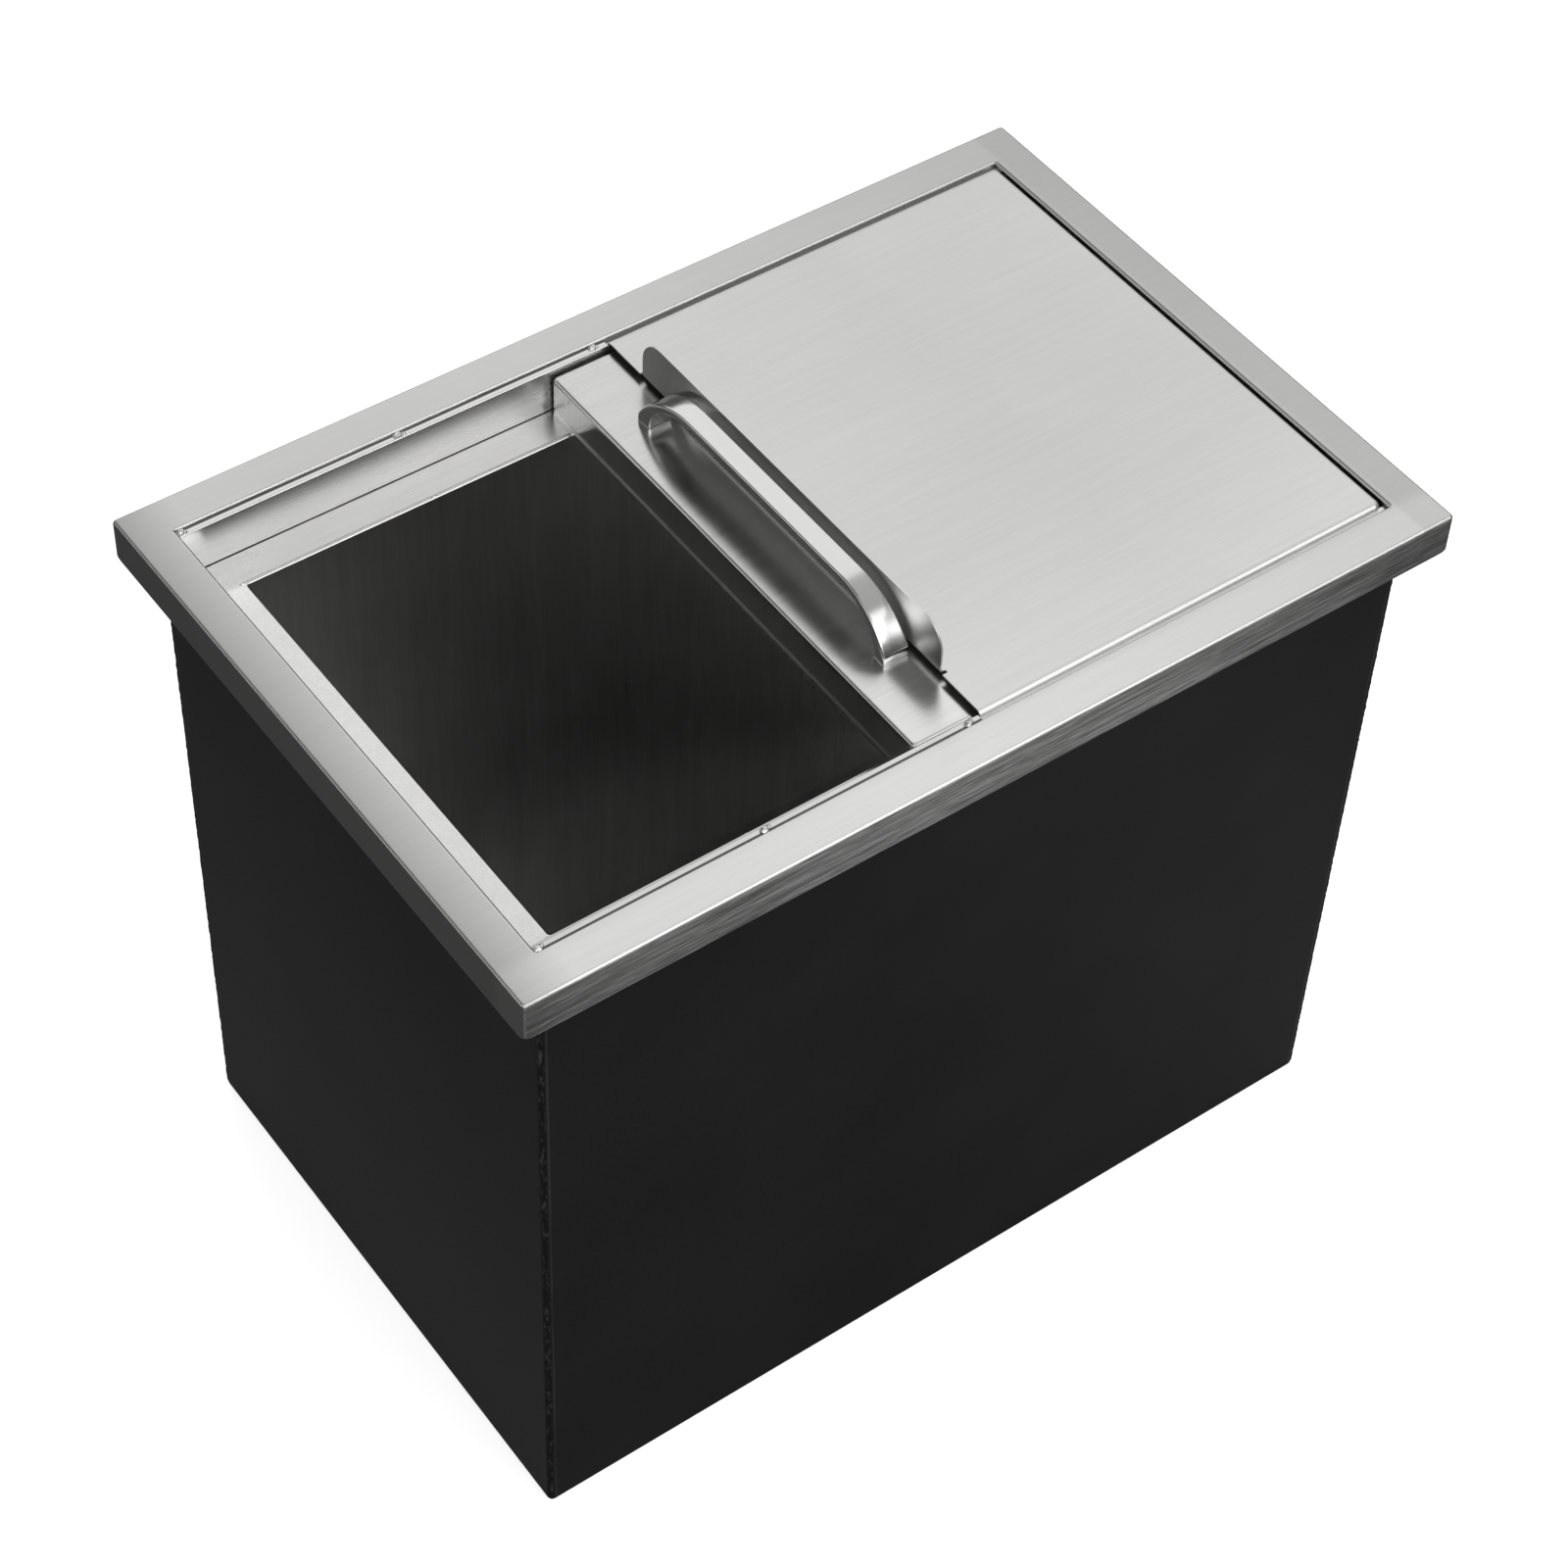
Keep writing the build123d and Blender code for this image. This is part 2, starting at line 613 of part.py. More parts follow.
# Lower lid
screw_y = (HANDLE_SPAN - HANDLE_FOOT_THICKNESS) / 2 - SCREW_CLEARANCE
screw_places = [(handle_x, -screw_y), (handle_x, screw_y)]
with BuildPart() as lower_lid:
    with BuildSketch(Plane.XY.offset(lower_foot)):
        with Locations(((lower_left + lower_right) / 2, 0)):
            RectangleRounded(lower_right - lower_left, 2 * lower_half_y, LOWER_LID_CORNER)
    extrude(amount=lower_top - lower_foot)
    fillet(lower_lid.faces().sort_by(Axis.Z)[-1].edges(), LOWER_LID_BEND)
    offset(amount=-LID_SHEET, openings=lower_lid.faces().sort_by(Axis.Z)[0])
    hem_half_y = lower_half_y - LOWER_LID_CORNER
    for hem_left in (lower_left - LID_SHEET, lower_right):
        block((hem_left, -hem_half_y), (hem_left + LID_SHEET, hem_half_y), lower_foot, LOWER_LID_HEM)
    with Locations((0, 0, lower_top)):
        with Locations(*screw_places):
            Hole(SCREW_RADIUS + SCREW_CLEARANCE, depth=LID_SHEET)
save(lower_lid, "lower_lid")


# Handle and its screws and washers
half_span = HANDLE_SPAN / 2
outer_run = half_span - HANDLE_SHOULDER
inner_span = half_span - HANDLE_FOOT_THICKNESS
inner_run = inner_span - HANDLE_INNER_SHOULDER
inner_rise = HANDLE_RISE - HANDLE_TOP_THICKNESS
handle_side = Plane(origin=(handle_x, 0, lower_top), x_dir=(0, 1, 0), z_dir=(1, 0, 0))
handle_plan = Plane(origin=(handle_x, 0, lower_top))
with BuildPart() as handle:
    with BuildSketch(handle_side):
        with BuildLine():
            Line((0, HANDLE_RISE), (outer_run, HANDLE_RISE))
            TangentArc((outer_run, HANDLE_RISE), (half_span, HANDLE_TOE_HEIGHT), tangent=(1, 0))
            Line((half_span, HANDLE_TOE_HEIGHT), (half_span, 0))
            Line((half_span, 0), (inner_span, 0))
            EllipticalCenterArc((inner_run, 0), HANDLE_INNER_SHOULDER, inner_rise, 0, arc_size=90)
            Line((inner_run, inner_rise), (0, inner_rise))
            mirror(about=Plane.YZ)
        side_view = make_face()
        fillet(side_view.vertices().group_by(Axis.Y)[1], HANDLE_TOE_ROUND)
    extrude(amount=HANDLE_FOOT_WIDTH / 2, both=True)
    with BuildSketch(handle_plan):
        with BuildLine():
            Line((HANDLE_WIDTH / 2, 0), (HANDLE_WIDTH / 2, outer_run))
            TangentArc((HANDLE_WIDTH / 2, outer_run), (HANDLE_FOOT_WIDTH / 2, half_span), tangent=(0, 1))
            Line((HANDLE_FOOT_WIDTH / 2, half_span), (0, half_span))
            mirror(about=Plane.YZ)
            mirror(about=Plane.XZ)
        make_face()
    extrude(amount=HANDLE_RISE, mode=Mode.INTERSECT)
    across = handle.edges().filter_by(Axis.X)
    rounded_edges = (handle.edges() - across).filter_by(
        lambda edge: edge.center().Z > lower_top + HANDLE_EDGE_ROUND
    )
    fillet(rounded_edges, HANDLE_EDGE_ROUND)
    chamfer(handle.faces().filter_by(Axis.Z).group_by(Axis.Z)[0].edges(), HANDLE_BASE_CHAMFER)
    with BuildSketch(Plane.XY.offset(lower_top)):
        with Locations(*screw_places):
            Circle(SCREW_RADIUS + SCREW_CLEARANCE)
    extrude(amount=SCREW_REACH + SCREW_CLEARANCE, mode=Mode.SUBTRACT)
save(handle, "handle")

washer_top = lower_top - LID_SHEET
head_top = washer_top - WASHER_THICKNESS
head_foot = head_top - SCREW_HEAD_HEIGHT
with BuildPart() as handle_washers:
    with BuildSketch(Plane.XY.offset(head_top)):
        with Locations(*screw_places):
            Circle(WASHER_RADIUS)
            Circle(SCREW_RADIUS + SCREW_CLEARANCE, mode=Mode.SUBTRACT)
    extrude(amount=WASHER_THICKNESS)
save(handle_washers, "handle_washers")

with BuildPart() as handle_screws:
    with BuildSketch(Plane.XY.offset(head_foot)):
        with Locations(*screw_places):
            Circle(SCREW_HEAD_RADIUS)
    extrude(amount=SCREW_HEAD_HEIGHT)
    fillet(handle_screws.faces().filter_by(Axis.Z).group_by(Axis.Z)[0].edges(), SCREW_HEAD_ROUND)
    with BuildSketch(Plane.XY.offset(head_foot)):
        with Locations(*screw_places):
            Rectangle(SCREW_SLOT_LENGTH, SCREW_SLOT_WIDTH)
            Rectangle(SCREW_SLOT_WIDTH, SCREW_SLOT_LENGTH)
    extrude(amount=SCREW_SLOT_DEPTH, mode=Mode.SUBTRACT)
    with BuildSketch(Plane.XY.offset(head_top)):
        with Locations(*screw_places):
            Circle(SCREW_RADIUS)
    extrude(amount=lower_top + SCREW_REACH - head_top)
save(handle_screws, "handle_screws")
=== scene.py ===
import math
import random

import bmesh
import bpy
from mathutils import Matrix, Vector, noise


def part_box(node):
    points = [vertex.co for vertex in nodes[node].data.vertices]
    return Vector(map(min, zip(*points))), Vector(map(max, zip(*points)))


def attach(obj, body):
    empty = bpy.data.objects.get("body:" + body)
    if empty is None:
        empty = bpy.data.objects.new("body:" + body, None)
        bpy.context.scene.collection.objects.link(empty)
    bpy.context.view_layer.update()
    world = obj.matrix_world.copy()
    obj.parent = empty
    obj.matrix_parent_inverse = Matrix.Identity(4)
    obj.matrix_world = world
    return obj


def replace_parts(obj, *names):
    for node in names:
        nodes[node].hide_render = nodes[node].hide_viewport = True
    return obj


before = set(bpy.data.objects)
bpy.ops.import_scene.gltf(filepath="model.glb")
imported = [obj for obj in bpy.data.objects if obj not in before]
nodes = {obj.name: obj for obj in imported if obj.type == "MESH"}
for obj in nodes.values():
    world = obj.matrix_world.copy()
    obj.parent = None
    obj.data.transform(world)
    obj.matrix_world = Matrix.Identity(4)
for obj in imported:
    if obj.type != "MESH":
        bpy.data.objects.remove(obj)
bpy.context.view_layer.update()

# Lengths and places are metres in the part's own frame, and tones and light levels are linear

# The camera stands where the photograph's straight edges say it stood
CAMERA_PLACE = (-1.0314, -1.3373, 2.2116)
CAMERA_YAW = math.radians(-37.713)
CAMERA_DOWN = math.radians(47.899)
CAMERA_ROLL = math.radians(2.683)
CAMERA_LENS = 88.52
CAMERA_SENSOR = 36.0
CAMERA_SHIFT = (0.0019, -0.0194)


# Node trees

class Nodes:
    """A node tree, with short calls that add nodes and join them."""

    def __init__(self, tree):
        self.tree = tree
        self.tree.nodes.clear()

    def put(self, socket, value):
        if isinstance(value, bpy.types.NodeSocket):
            self.tree.links.new(value, socket)
        else:
            socket.default_value = value

    def node(self, kind, inputs=(), **settings):
        made = self.tree.nodes.new(kind)
        for name, value in settings.items():
            setattr(made, name, value)
        for key, value in dict(inputs).items():
            self.put(made.inputs[key], value)
        return made

    def math(self, operation, a, b=0.0, c=0.0):
        return self.node("ShaderNodeMath", {0: a, 1: b, 2: c}, operation=operation).outputs[0]

    def times(self, a, b):
        return self.math("MULTIPLY", a, b)

    def plus(self, a, b):
        return self.math("ADD", a, b)

    def mix(self, share, a, b):
        return self.node("ShaderNodeMix", {0: share, 6: a, 7: b}, data_type="RGBA").outputs[2]

    def mix_vector(self, share, a, b):
        return self.node("ShaderNodeMix", {0: share, 4: a, 5: b}, data_type="VECTOR").outputs[1]

    def ramp(self, value, low, high, to_low=0.0, to_high=1.0):
        inputs = {0: value, 1: low, 2: high, 3: to_low, 4: to_high}
        return self.node("ShaderNodeMapRange", inputs, clamp=True).outputs[0]

    def around_one(self, value, low, high, by):
        """A ramp from one less the given share to one more."""
        return self.ramp(value, low, high, 1 - by, 1 + by)

    def only_where(self, mask, factor):
        """The factor where the mask is one, and one where the mask is zero."""
        return self.math("MULTIPLY_ADD", self.math("SUBTRACT", factor, 1.0), mask, 1.0)

    def part(self, vector, axis):
        return self.node("ShaderNodeSeparateXYZ", {0: vector}).outputs["XYZ".index(axis)]

    def absolute(self, vector, axis):
        return self.math("ABSOLUTE", self.part(vector, axis))

    def combined(self, parts):
        return self.node("ShaderNodeCombineXYZ", dict(enumerate(parts))).outputs[0]

    def scaled(self, vector, scale):
        return self.node("ShaderNodeMapping", {"Vector": vector, "Scale": scale}).outputs[0]

    def noise(self, vector, detail=2.0, rough=0.5):
        inputs = {"Vector": vector, "Scale": 1.0, "Detail": detail, "Roughness": rough}
        return self.node("ShaderNodeTexNoise", inputs).outputs["Fac"]

    def bump(self, height, distance, strength=1.0, normal=None):
        made = self.node("ShaderNodeBump", {"Height": height, "Distance": distance, "Strength": strength})
        if normal is not None:
            self.put(made.inputs["Normal"], normal)
        return made.outputs["Normal"]


class Shader(Nodes):
    """A material with one Principled shader."""

    def __init__(self, name):
        self.material = bpy.data.materials.new(name)
        self.material.use_nodes = True
        super().__init__(self.material.node_tree)
        self.bsdf = self.node("ShaderNodeBsdfPrincipled")
        self.node("ShaderNodeOutputMaterial", {"Surface": self.bsdf.outputs["BSDF"]})
        texture = self.node("ShaderNodeTexCoord")
        self.place = texture.outputs["Object"]
        self.facing = texture.outputs["Normal"]

    def set(self, **values):
        for name, value in values.items():
            self.put(self.bsdf.inputs[name.replace("_", " ")], value)

    def grains(self, per_metre, detail=2.0, rough=0.5):
        """Noise that is as fine in one direction as in another."""
        return self.noise(self.scaled(self.place, (per_metre,) * 3), detail, rough)


def grey(level, tint=(1.0, 1.0, 1.0)):
    """A linear colour from one brightness and a tint."""
    return (level * tint[0], level * tint[1], level * tint[2], 1.0)


# Brushed steel

# The values that a noise mostly has, and the narrower ones that its lines and bands are drawn from
NOISE_RANGE = (0.3, 0.7)
NOISE_CORE = (0.35, 0.65)

# Each kind of line is its length, its width, and the detail and roughness of its noise
FINE_LINES = (0.050, 0.0005, 3.0, 0.6)
STREAKS = (0.110, 0.0022, 3.0, 0.55)
BANDS = (0.450, 0.012, 2.0, 0.5)
SKIRT_LINES = (0.024, 0.0009, 3.0, 0.65)

# How squarely a face has to look to +X or -X before its lines turn
FOLD_FACING = (0.68, 0.72)

STEEL_TINT = (1.0, 1.0, 0.99)
CLOUDS_PER_METRE = 9.0
CLOUD_DETAIL = 3.0
CLOUD_CONTRAST = 0.015
CLOUD_ROUGH = 0.03
CLOUD_SWELL = 0.0003
CLOUD_STRENGTH = 0.5
STREAK_WEIGHT = 0.6
BAND_WEIGHT = 0.4
LINE_ROUGH = 0.02
LINE_DEPTH = 0.00003
FINE_HEIGHT = 0.3
STREAK_HEIGHT = 0.7
QUARTER_TURN = 0.25


class BrushedShader(Shader):
    """A material with brushing lines along one axis.

    On faces that look to +X or -X the lines turn to another axis, as they do on the folds of a sheet.
    """

    def __init__(self, name, along, turned):
        super().__init__(name)
        self.along = along
        self.turned = turned
        self.fold = self.ramp(self.absolute(self.facing, "X"), *FOLD_FACING)
        self.fine = self.lines(*FINE_LINES)
        self.streaks = self.lines(*STREAKS)
        self.bands = self.lines(*BANDS)
        self.cloud = self.grains(CLOUDS_PER_METRE, CLOUD_DETAIL)

    def stretched(self, axis, length, width):
        return self.scaled(self.place, tuple(1 / length if letter == axis else 1 / width for letter in "XYZ"))

    def lines(self, length, width, detail, rough):
        vector = self.stretched(self.along, length, width)
        if self.turned:
            vector = self.mix_vector(self.fold, vector, self.stretched(self.turned, length, width))
        return self.noise(vector, detail, rough)

    def direction(self):
        flat = tuple(float(letter == self.along) for letter in "XYZ")
        if not self.turned:
            return self.combined(flat)
        folded = tuple(float(letter == self.turned) for letter in "XYZ")
        return self.mix_vector(self.fold, flat, folded)


def brushed_steel(name, tone, along="X", turned="Z", rough=0.28, aniso=0.6, depth=1.0, contrast=0.03,
                  painted_light_ramps=(), change=None):
    """Brushed stainless steel: fine lines, broader streaks, soft blotches and a slightly uneven sheet.

    Each of the places is (axis, from, to, share at from, share at to): painted light and shade, which makes
    the sheet darker or lighter there.
    The change is a function that gives one more such share.
    """
    s = BrushedShader(name, along, turned)
    lines = s.math("MULTIPLY_ADD", s.streaks, STREAK_WEIGHT, s.times(s.bands, BAND_WEIGHT))
    share = s.around_one(lines, *NOISE_CORE, contrast)
    share = s.times(share, s.around_one(s.fine, *NOISE_CORE, contrast))
    share = s.times(share, s.around_one(s.cloud, *NOISE_RANGE, CLOUD_CONTRAST))
    # Painted light and shade: ramps along an axis that lighten or darken the sheet where light falls on it
    for axis, start, end, at_start, at_end in painted_light_ramps:
        share = s.times(share, s.ramp(s.part(s.place, axis), start, end, at_start, at_end))
    if change:
        share = s.times(share, change(s))
    # A share of one is halfway from black to twice the tone
    colour = s.mix(s.times(share, 0.5), grey(0.0, STEEL_TINT), grey(2 * tone, STEEL_TINT))
    by_cloud = s.ramp(s.cloud, *NOISE_RANGE, -CLOUD_ROUGH, CLOUD_ROUGH)
    by_line = s.ramp(lines, *NOISE_RANGE, rough - LINE_ROUGH, rough + LINE_ROUGH)
    s.set(Base_Color=colour, Metallic=1.0, Roughness=s.plus(by_line, by_cloud))
    s.set(Anisotropic=aniso, Anisotropic_Rotation=QUARTER_TURN, Tangent=s.direction())
    sheet = s.bump(s.cloud, CLOUD_SWELL, CLOUD_STRENGTH)
    height = s.math("MULTIPLY_ADD", s.fine, FINE_HEIGHT, s.times(s.streaks, STREAK_HEIGHT))
    s.set(Normal=s.bump(height, LINE_DEPTH * depth, 1.0, sheet))
    return s


# How squarely a face has to look to the front or rear to be skirt, and upwards to take the painted shade
# along the rim
SKIRT_FACING = (0.80, 0.95)
TOP_FACING = (0.8, 0.9)

# A painted shade is a ramp along X or Y: from, to, share at from, share at to
SKIRT_PAINTED_SHADE = (0.0, 0.30, 0.83, 0.94)
# Painted shade on the lower lid's end faces, darker at the front
FOLD_PAINTED_SHADE = (-0.15, 0.10, 0.45, 1.25)

SKIRT_CORE = (0.32, 0.68)
SKIRT_CONTRAST = 0.5
# Painted shade: a dark line on the strip beside the rim, from this distance outwards
CREVICE_SHADE_FROM = 0.1968
CREVICE_SHADE_FADE = 0.0003
CREVICE_SHADE_SHARE = 0.15
# Painted shade on the finger guard's front end: above this height and before this depth
TIP_ABOVE = (0.561, 0.564)
TIP_BEFORE = (-0.155, -0.135)
TIP_SHADE_SHARE = 0.45


def marks_and_painted_shade_on_skirt(s):
    """Short, strong brushing marks on the skirt's front and rear, with painted shade that makes it darker
    towards the open half.
    """
    marked = s.around_one(s.lines(*SKIRT_LINES), *SKIRT_CORE, SKIRT_CONTRAST)
    marked = s.times(marked, s.around_one(s.streaks, *NOISE_CORE, SKIRT_CONTRAST / 2))
    # Painted shade: the skirt drawn darker towards the open half
    marked = s.times(marked, s.ramp(s.part(s.place, "X"), *SKIRT_PAINTED_SHADE))
    return s.only_where(s.ramp(s.absolute(s.facing, "Y"), *SKIRT_FACING), marked)


def painted_crevice_shade(s):
    """Painted shade: a dark line on the rail's strip where it meets the rim."""
    beside_rim = s.ramp(s.absolute(s.place, "Y"), CREVICE_SHADE_FROM, CREVICE_SHADE_FROM + CREVICE_SHADE_FADE)
    return s.only_where(s.times(beside_rim, s.ramp(s.part(s.facing, "Z"), *TOP_FACING)), CREVICE_SHADE_SHARE)


def painted_shade_on_folds(s):
    """The lower lid's folded end faces, with painted shade that makes them darker at the front than at the
    rear.
    """
    return s.only_where(s.fold, s.ramp(s.part(s.place, "Y"), *FOLD_PAINTED_SHADE))


def painted_shade_on_tip(s):
    """The finger guard's front end, with painted shade that makes it darker than the rest of the guard."""
    above = s.ramp(s.part(s.place, "Z"), *TIP_ABOVE)
    return s.only_where(s.times(above, s.ramp(s.part(s.place, "Y"), *TIP_BEFORE, 1.0, 0.0)), TIP_SHADE_SHARE)


# Coatings, foam, rubber and plastic

COATING_PITS = grey(0.0075)
COATING_TOPS = grey(0.0115, (1.0, 1.02, 1.02))
COATING_ROUGH = (0.46, 0.62)
PEBBLE_TONE = grey(0.022)
PEBBLES_PER_METRE = 900.0
PEBBLE_COVER = (0.35, 0.75, 0.0, 0.25)
PEBBLE_DEPTH = 0.00006
PEBBLE_STRENGTH = 0.55
SPECK_TONE = grey(0.06)
SPECKS_PER_METRE = 320.0
SPECK_EDGE = (0.05, 0.09)
SPECK_COVER = 0.22
RUBBED_TONE = grey(0.045)
RUBBED_WIDTH = 0.0014
RUBBED_FADE = 0.0004
RUBBED_COVER = (0.35, 0.6, 0.3, 1.0)
# Painted light that makes the coating paler towards the bottom
PAINTED_LIGHT_TONE = grey(1.0)
PAINTED_LIGHT_HEIGHTS = (0.05, 0.45)
PIT_PAINTED_SHADE = grey(0.002)
CREST_TONE = grey(0.050)
PITS_PER_METRE = (420.0, 420.0, 160.0)
PIT_EDGE = (0.50, 0.66)
PIT_ROUGH = (0.55, 0.30)
PIT_DEPTH = 0.0006
PIT_STRENGTH = 0.8
PLAIN_GRAINS_PER_METRE = 400.0
PLAIN_CLOUDS_PER_METRE = 14.0
PLAIN_GRAIN_WEIGHT = 0.6
PLAIN_CLOUD_WEIGHT = 0.4
PLAIN_ROUGH = 0.06
PLAIN_DEPTH = 0.00005
PLAIN_STRENGTH = 0.5


def black_coating(name, painted_light_above=0.0, painted_light_below=0.0, rubbed=None):
    """Matte black powder coating with a fine pebbled grain and a few pale specks.

    Painted light makes it paler lower down. A line just within the rubbed distance from the middle is worn
    paler.
    """
    s = Shader(name)
    pebble = s.grains(PEBBLES_PER_METRE, 2.0, 0.6)
    cloud = s.grains(CLOUDS_PER_METRE, CLOUD_DETAIL)
    cells = s.node("ShaderNodeTexVoronoi", {"Vector": s.place, "Scale": SPECKS_PER_METRE}, feature="F1")
    speck = s.ramp(cells.outputs["Distance"], *SPECK_EDGE, 1.0, 0.0)
    base = s.mix(s.ramp(cloud, *NOISE_RANGE), COATING_PITS, COATING_TOPS)
    base = s.mix(s.ramp(pebble, *PEBBLE_COVER), base, PEBBLE_TONE)
    base = s.mix(s.times(speck, SPECK_COVER), base, SPECK_TONE)
    if rubbed:
        out = s.absolute(s.place, "X")
        inner = s.ramp(out, rubbed - RUBBED_WIDTH, rubbed - RUBBED_WIDTH + RUBBED_FADE)
        outer = s.ramp(out, rubbed - RUBBED_FADE, rubbed, 1.0, 0.0)
        base = s.mix(s.times(s.times(inner, outer), s.ramp(cloud, *RUBBED_COVER)), base, RUBBED_TONE)
    # Painted light: the coating drawn paler towards the bottom
    if painted_light_below:
        painted_light = s.ramp(s.part(s.place, "Z"), *PAINTED_LIGHT_HEIGHTS, painted_light_below, painted_light_above)
        base = s.mix(painted_light, base, PAINTED_LIGHT_TONE)
    s.set(Base_Color=base, Metallic=0.0, Roughness=s.ramp(pebble, *NOISE_RANGE, *COATING_ROUGH))
    s.set(Normal=s.bump(pebble, PEBBLE_DEPTH, PEBBLE_STRENGTH))
    return s


def bead_coating(name):
    """The same black over a rough weld: glossier and paler on its crests, with painted shade that makes its
    pits black.
    """
    s = Shader(name)
    pits = s.noise(s.scaled(s.place, PITS_PER_METRE), 4.0, 0.65)
    # Painted shade: the weld's pits drawn black
    base = s.mix(s.ramp(pits, *PIT_EDGE), PIT_PAINTED_SHADE, CREST_TONE)
    s.set(Base_Color=base, Metallic=0.0, Roughness=s.ramp(pits, *NOISE_RANGE, *PIT_ROUGH))
    s.set(Normal=s.bump(pits, PIT_DEPTH, PIT_STRENGTH))
    return s


def plain_coating(name, low, high, rough):
    """A moulded, foamed or pressed surface: two near colours, a fine grain and a rough skin."""
    s = Shader(name)
    pebble = s.grains(PLAIN_GRAINS_PER_METRE, 3.0, 0.6)
    cloud = s.grains(PLAIN_CLOUDS_PER_METRE)
    blend = s.math("MULTIPLY_ADD", pebble, PLAIN_GRAIN_WEIGHT, s.times(cloud, PLAIN_CLOUD_WEIGHT))
    roughness = s.ramp(pebble, *NOISE_RANGE, rough - PLAIN_ROUGH, rough + PLAIN_ROUGH)
    s.set(Base_Color=s.mix(blend, low, high), Metallic=0.0, Roughness=roughness)
    s.set(Normal=s.bump(pebble, PLAIN_DEPTH, PLAIN_STRENGTH))
    return s


# Which finish each node wears

# Painted light and shade: parts of the rim, the upper lid and the lower lid are drawn darker or lighter by
# place
RIM_PAINTED_LIGHT_RAMPS = (
    ("X", -0.340, -0.305, 0.68, 1.0),
    ("Y", -0.150, 0.150, 1.0, 0.92),
    ("X", -0.050, 0.300, 1.0, 0.80),
    ("X", 0.317, 0.320, 1.0, 0.90),
    ("Y", -0.206, -0.196, 1.16, 1.0),
)
SLIDER_PAINTED_LIGHT_RAMPS = (("Y", -0.180, -0.060, 1.25, 1.0),)
LID_PAINTED_LIGHT_RAMPS = (
    ("X", 0.000, 0.160, 1.10, 1.0),
    ("Y", -0.190, -0.080, 1.10, 1.0),
)
SHELL_EDGE = 0.3173

finishes = {
    "rim": brushed_steel("rim_steel", 0.70, rough=0.33, aniso=0.9, depth=1.3, contrast=0.025,
                         painted_light_ramps=RIM_PAINTED_LIGHT_RAMPS, change=marks_and_painted_shade_on_skirt),
    "rail": brushed_steel("rail_steel", 0.68, rough=0.26, change=painted_crevice_shade),
    "ledge": brushed_steel("ledge_steel", 0.55, rough=0.28, contrast=0.05),
    "lid": brushed_steel("lid_steel", 0.63, rough=0.33, aniso=0.9, painted_light_ramps=LID_PAINTED_LIGHT_RAMPS, change=painted_shade_on_tip),
    "slider": brushed_steel("slider_steel", 0.61, rough=0.24, aniso=0.8, contrast=0.05,
                            painted_light_ramps=SLIDER_PAINTED_LIGHT_RAMPS, change=painted_shade_on_folds),
    "liner": brushed_steel("liner_steel", 0.74, along="Z", rough=0.30, contrast=0.06),
    "handle": brushed_steel("handle_steel", 0.64, along="Y", turned=None, rough=0.16, contrast=0.02),
    "weld": brushed_steel("weld_steel", 0.66, rough=0.30, contrast=0.10),
    "drain": brushed_steel("drain_steel", 0.60, rough=0.25),
    "black": black_coating("black_coating"),
    "black_side": black_coating("black_side_coating", rubbed=SHELL_EDGE),
    "black_end": black_coating("black_end_coating", painted_light_above=0.004, painted_light_below=0.028),
    "bead": bead_coating("bead_coating"),
    "foam": plain_coating("foam", grey(0.62, (1, 0.92, 0.7)), grey(0.72, (1, 0.93, 0.72)), 0.8),
    "rubber": plain_coating("rubber", grey(0.02), grey(0.035), 0.7),
    "nut": plain_coating("nut_plastic", grey(0.62), grey(0.70), 0.45),
}

dressed = {
    "rim": ["top_rim"],
    "rail": ["front_rail", "rear_rail"],
    "ledge": ["front_ledge", "rear_ledge"],
    "lid": ["upper_lid"],
    "slider": ["lower_lid"],
    "liner": ["liner"],
    "handle": ["handle", "handle_screws", "handle_washers"],
    "weld": ["rail_tacks", "ledge_knots"],
    "drain": ["drain_fitting", "drain_strainer", "drain_recess_cup"],
    "black": ["shell_right", "corner_beads", "base_plate"],
    "black_side": ["shell_front", "shell_rear"],
    "black_end": ["shell_left"],
    "foam": [
        "insulation_floor", "insulation_front", "insulation_rear", "insulation_left", "insulation_right",
    ],
    "rubber": ["drain_gasket", "drain_washer"],
    "nut": ["drain_locknut"],
}
for finish, names in dressed.items():
    for name in names:
        for slot in nodes[name].material_slots:
            slot.material = finishes[finish].material


# Pieces that the CAD gives plainly: weld nuggets, and the rough welds down the box's corners

def finished(mesh, name, finish, body):
    """An object from a bmesh, smooth, in its material, riding on its body."""
    data = bpy.data.meshes.new(name)
    bmesh.ops.recalc_face_normals(mesh, faces=mesh.faces)
    mesh.to_mesh(data)
    mesh.free()
    data.shade_smooth()
    data.materials.append(finishes[finish].material)
    piece = bpy.data.objects.new(name, data)
    bpy.context.scene.collection.objects.link(piece)
    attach(piece, body)
    return piece


# The nuggets lie where the CAD's tacks and knots lie, and each half size is a range or one value
TACK_X = (-0.3126, -0.1585, -0.0125)
TACK_Y = 0.1966
TACK_Z = 0.5562
TACK_HALF_X = (0.0026, 0.0036)
TACK_HALF_Y = 0.0024
TACK_HALF_Z = (0.0019, 0.0025)
SPLASH_BESIDE = (0.002, 0.004)
SPLASH_INWARDS = 0.001
SPLASH_HALF_X = (0.0016, 0.0024)
SPLASH_HALF_Y = 0.0015
SPLASH_HALF_Z = 0.0012
KNOT_X = (-0.2886, -0.151, 0.151, 0.2886)
KNOT_Y = 0.1695
KNOT_Z = 0.5209
KNOT_HALF_X = (0.0018, 0.0028)
KNOT_HALF_Y = (0.0012, 0.0018)
KNOT_HALF_Z = 0.0012
NUGGET_SEED = 7
NUGGET_SUBDIVISIONS = 4
NUGGET_ROUGH = 0.22
NUGGET_WAVES = 1.6
